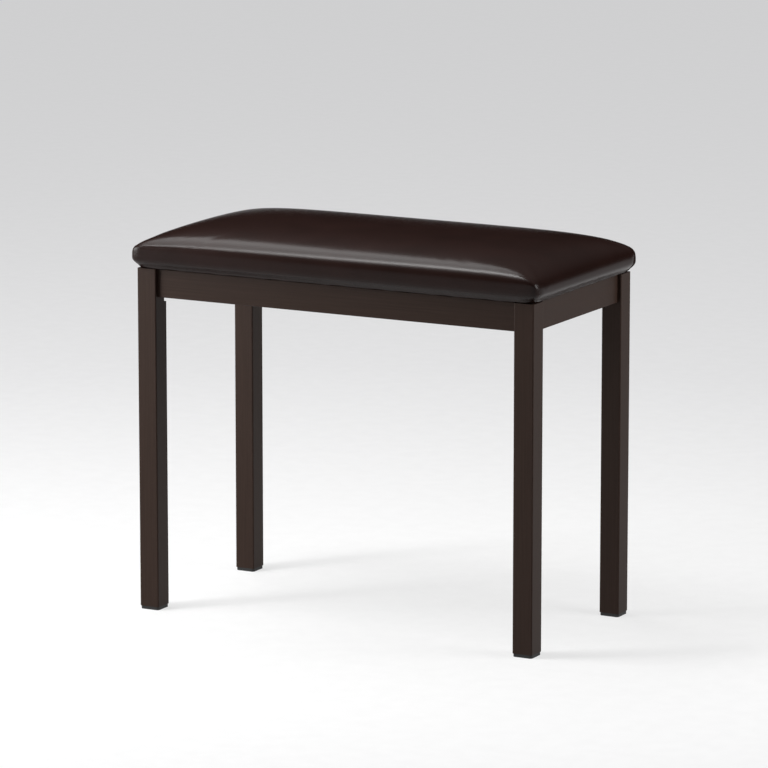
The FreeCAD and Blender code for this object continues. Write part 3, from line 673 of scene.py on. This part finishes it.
surface = add_node(tree, "ShaderNodeBsdfPrincipled", [
    ("Base Color", black.outputs["Color"]),
    ("Roughness", sheen.outputs["Result"]),
    ("Specular IOR Level", 0.3),
    ("Normal", relief.outputs["Normal"]),
])
add_node(tree, "ShaderNodeOutputMaterial", [("Surface", surface.outputs["BSDF"])])
print("spunbond dots", DOT_PITCH, "mm")

# %% Dust cover
DUST_SAG = 2.2 * MM
DUST_CORNER = 12 * MM
DUST_PUCKER = 0.2 * MM
PUCKER_RUN = 57.5 * MM
HEM = 11 * MM
HEM_THICKNESS = 0.5 * MM

dust_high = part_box("dust_cover")[1]
dust_half = Vector((dust_high.x, dust_high.y))
cloth = bmesh.new()
bmesh.ops.create_grid(cloth, x_segments=98, y_segments=42, size=1)
for vert in cloth.verts:
    hang = ((1 - vert.co.x ** 2) * (1 - vert.co.y ** 2)) ** 2
    pucker = DUST_PUCKER * (1 - math.cos(2 * math.pi * vert.co.x * dust_half.x / PUCKER_RUN)) * hang ** 0.5
    level = dust_high.z - DUST_SAG * hang - pucker
    vert.co = (*rounded_plan(vert.co.x, vert.co.y, dust_half, DUST_CORNER), level)
dust_cover = piece_from(cloth, "dust_cover_cloth", spunbond)
hem = dust_cover.vertex_groups.new(name="hem")
for vert in dust_cover.data.vertices:
    edge_gap = min(dust_half.x - abs(vert.co.x), dust_half.y - abs(vert.co.y))
    hem.add([vert.index], 1.0 if edge_gap < HEM else 0.0, "REPLACE")
thicken = dust_cover.modifiers.new("thickness", "SOLIDIFY")
thicken.thickness = HEM_THICKNESS
thicken.offset = -1
thicken.vertex_group = hem.name
thicken.thickness_vertex_group = 0.5
dust_cover.data = bpy.data.meshes.new_from_object(
    dust_cover.evaluated_get(bpy.context.evaluated_depsgraph_get()))
dust_cover.modifiers.remove(thicken)
dust_cover.vertex_groups.clear()
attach(dust_cover, "root")
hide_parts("dust_cover")
print("dust cover, mm:", [round(value * 2 / MM, 1) for value in dust_half])

# %% [markdown]
# ## Screws and bolts
# A seat screw goes up through each bracket's tab, and its pan head has a cross recess. A hanger bolt is
# screwed into each leg, and its machine thread carries the washer and the nut. The CAD gives plain turned
# forms, so both are made anew. The recess is a cross let into the head, and the thread is one triangle
# spun up the shank.

# %% Seat screws
SCREW_PLACE = Vector((229.51, 90.51, 420.9)) * MM
SCREW_HEAD, SCREW_HEAD_HEIGHT = 4.0 * MM, 2.6 * MM
SCREW_SHANK, SCREW_LENGTH = 2.0 * MM, 15.1 * MM
CROSS_REACH, CROSS_HALF_WIDTH, CROSS_DEPTH = 2.2 * MM, 0.5 * MM, 1.3 * MM
CROSS_TAPER = 0.6
HEAD_ROUNDING = 0.9 * MM
SIDES = [(side_x, side_y) for side_x in (-1, 1) for side_y in (-1, 1)]


def copies(add_one, stands):
    """Copies of one fastener in one bmesh, each moved to its stand and with its normals outward."""
    store = bpy.data.meshes.new("store")
    together = bmesh.new()
    for stand in stands:
        one = bmesh.new()
        add_one(one)
        bmesh.ops.transform(one, matrix=stand, verts=one.verts)
        bmesh.ops.recalc_face_normals(one, faces=one.faces)
        one.to_mesh(store)
        one.free()
        together.from_mesh(store)
    bpy.data.meshes.remove(store)
    return together


def add_screw(shape):
    """One pan-head screw, point up: a bevelled head with a cross let into its face, and the shank."""
    bmesh.ops.create_circle(shape, segments=24, radius=SCREW_HEAD)
    rim = list(shape.edges)
    arm = [(CROSS_REACH, CROSS_HALF_WIDTH), (CROSS_HALF_WIDTH, CROSS_HALF_WIDTH),
           (CROSS_HALF_WIDTH, CROSS_REACH)]
    cross = []
    for quarter in range(4):
        turn = Matrix.Rotation(quarter * math.pi / 2, 3, "Z")
        cross += [shape.verts.new(turn @ Vector((px, py, 0))) for px, py in arm]
    cross_edges = [shape.edges.new((cross[index - 1], cross[index])) for index in range(len(cross))]
    bmesh.ops.bridge_loops(shape, edges=rim + cross_edges)
    deep = new_verts(bmesh.ops.extrude_edge_only(shape, edges=cross_edges))
    bmesh.ops.scale(shape, verts=deep, vec=(CROSS_TAPER, CROSS_TAPER, 1))
    bmesh.ops.translate(shape, verts=deep, vec=(0, 0, CROSS_DEPTH))
    cap(shape, deep)
    top = new_verts(bmesh.ops.extrude_edge_only(shape, edges=rim))
    bmesh.ops.translate(shape, verts=top, vec=(0, 0, SCREW_HEAD_HEIGHT))
    cap(shape, top)
    bmesh.ops.bevel(shape, geom=rim, offset=HEAD_ROUNDING, segments=3, profile=0.5, affect="EDGES",
                    material=-1)
    lift = Matrix.Translation((0, 0, (SCREW_HEAD_HEIGHT + SCREW_LENGTH) / 2))
    bmesh.ops.create_cone(shape, cap_ends=True, segments=20, radius1=SCREW_SHANK, radius2=SCREW_SHANK,
                          depth=SCREW_LENGTH - SCREW_HEAD_HEIGHT, matrix=lift)


screw_stands = [Matrix.Translation((side_x * SCREW_PLACE.x, side_y * SCREW_PLACE.y, SCREW_PLACE.z))
                for side_x, side_y in SIDES]
seat_screws = piece_from(copies(add_screw, screw_stands), "seat_screws_cross_head", zinc, smooth=False)
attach(seat_screws, "root")
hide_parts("seat_screws")
print("seat screws:", len(seat_screws.data.polygons), "faces")

# %% Hanger bolts
BOLT_LEG_END = Vector((263.97, 124.97, 411.5)) * MM
BOLT_LENGTH = 49.33 * MM
BOLT_CORE, BOLT_CREST = 2.5 * MM, 3.0 * MM
THREAD_START, THREAD_PITCH, THREAD_TURNS = 24 * MM, 1.0 * MM, 24
STEPS_PER_TURN = 18
END_ROUNDING = 0.6 * MM
ROOT = BOLT_CORE - 0.1 * MM


def add_bolt(shape):
    """One hanger bolt along Z: a core with a bevelled end, and the machine thread spun round it."""
    bmesh.ops.create_cone(shape, cap_ends=True, segments=24, radius1=BOLT_CORE, radius2=BOLT_CORE,
                          depth=BOLT_LENGTH, matrix=Matrix.Translation((0, 0, BOLT_LENGTH / 2)))
    ends = [edge for edge in shape.edges if abs(edge.verts[0].co.z - edge.verts[1].co.z) < 1e-6]
    bmesh.ops.bevel(shape, geom=ends, offset=END_ROUNDING, segments=2, profile=0.5, affect="EDGES",
                    material=-1)
    section = [(ROOT, 0), (BOLT_CREST, THREAD_PITCH / 2), (ROOT, THREAD_PITCH)]
    corners = [shape.verts.new((radius, 0, THREAD_START + level)) for radius, level in section]
    face = shape.faces.new(corners)
    bmesh.ops.spin(shape, geom=[face, *face.edges, *corners], cent=(0, 0, 0), axis=(0, 0, 1),
                   dvec=(0, 0, THREAD_PITCH / STEPS_PER_TURN), angle=2 * math.pi * THREAD_TURNS,
                   steps=STEPS_PER_TURN * THREAD_TURNS)


bolt_stands = []
for side_x, side_y in SIDES:
    inwards = Vector((-side_x, -side_y, 0)).to_track_quat("Z", "Y").to_matrix().to_4x4()
    leg_end = Matrix.Translation((side_x * BOLT_LEG_END.x, side_y * BOLT_LEG_END.y, BOLT_LEG_END.z))
    bolt_stands.append(leg_end @ inwards)
hanger_bolts = piece_from(copies(add_bolt, bolt_stands), "hanger_bolts_threaded", zinc, smooth=False)
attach(hanger_bolts, "root")
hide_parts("hanger_bolts")
print("hanger bolts:", len(hanger_bolts.data.polygons), "faces")
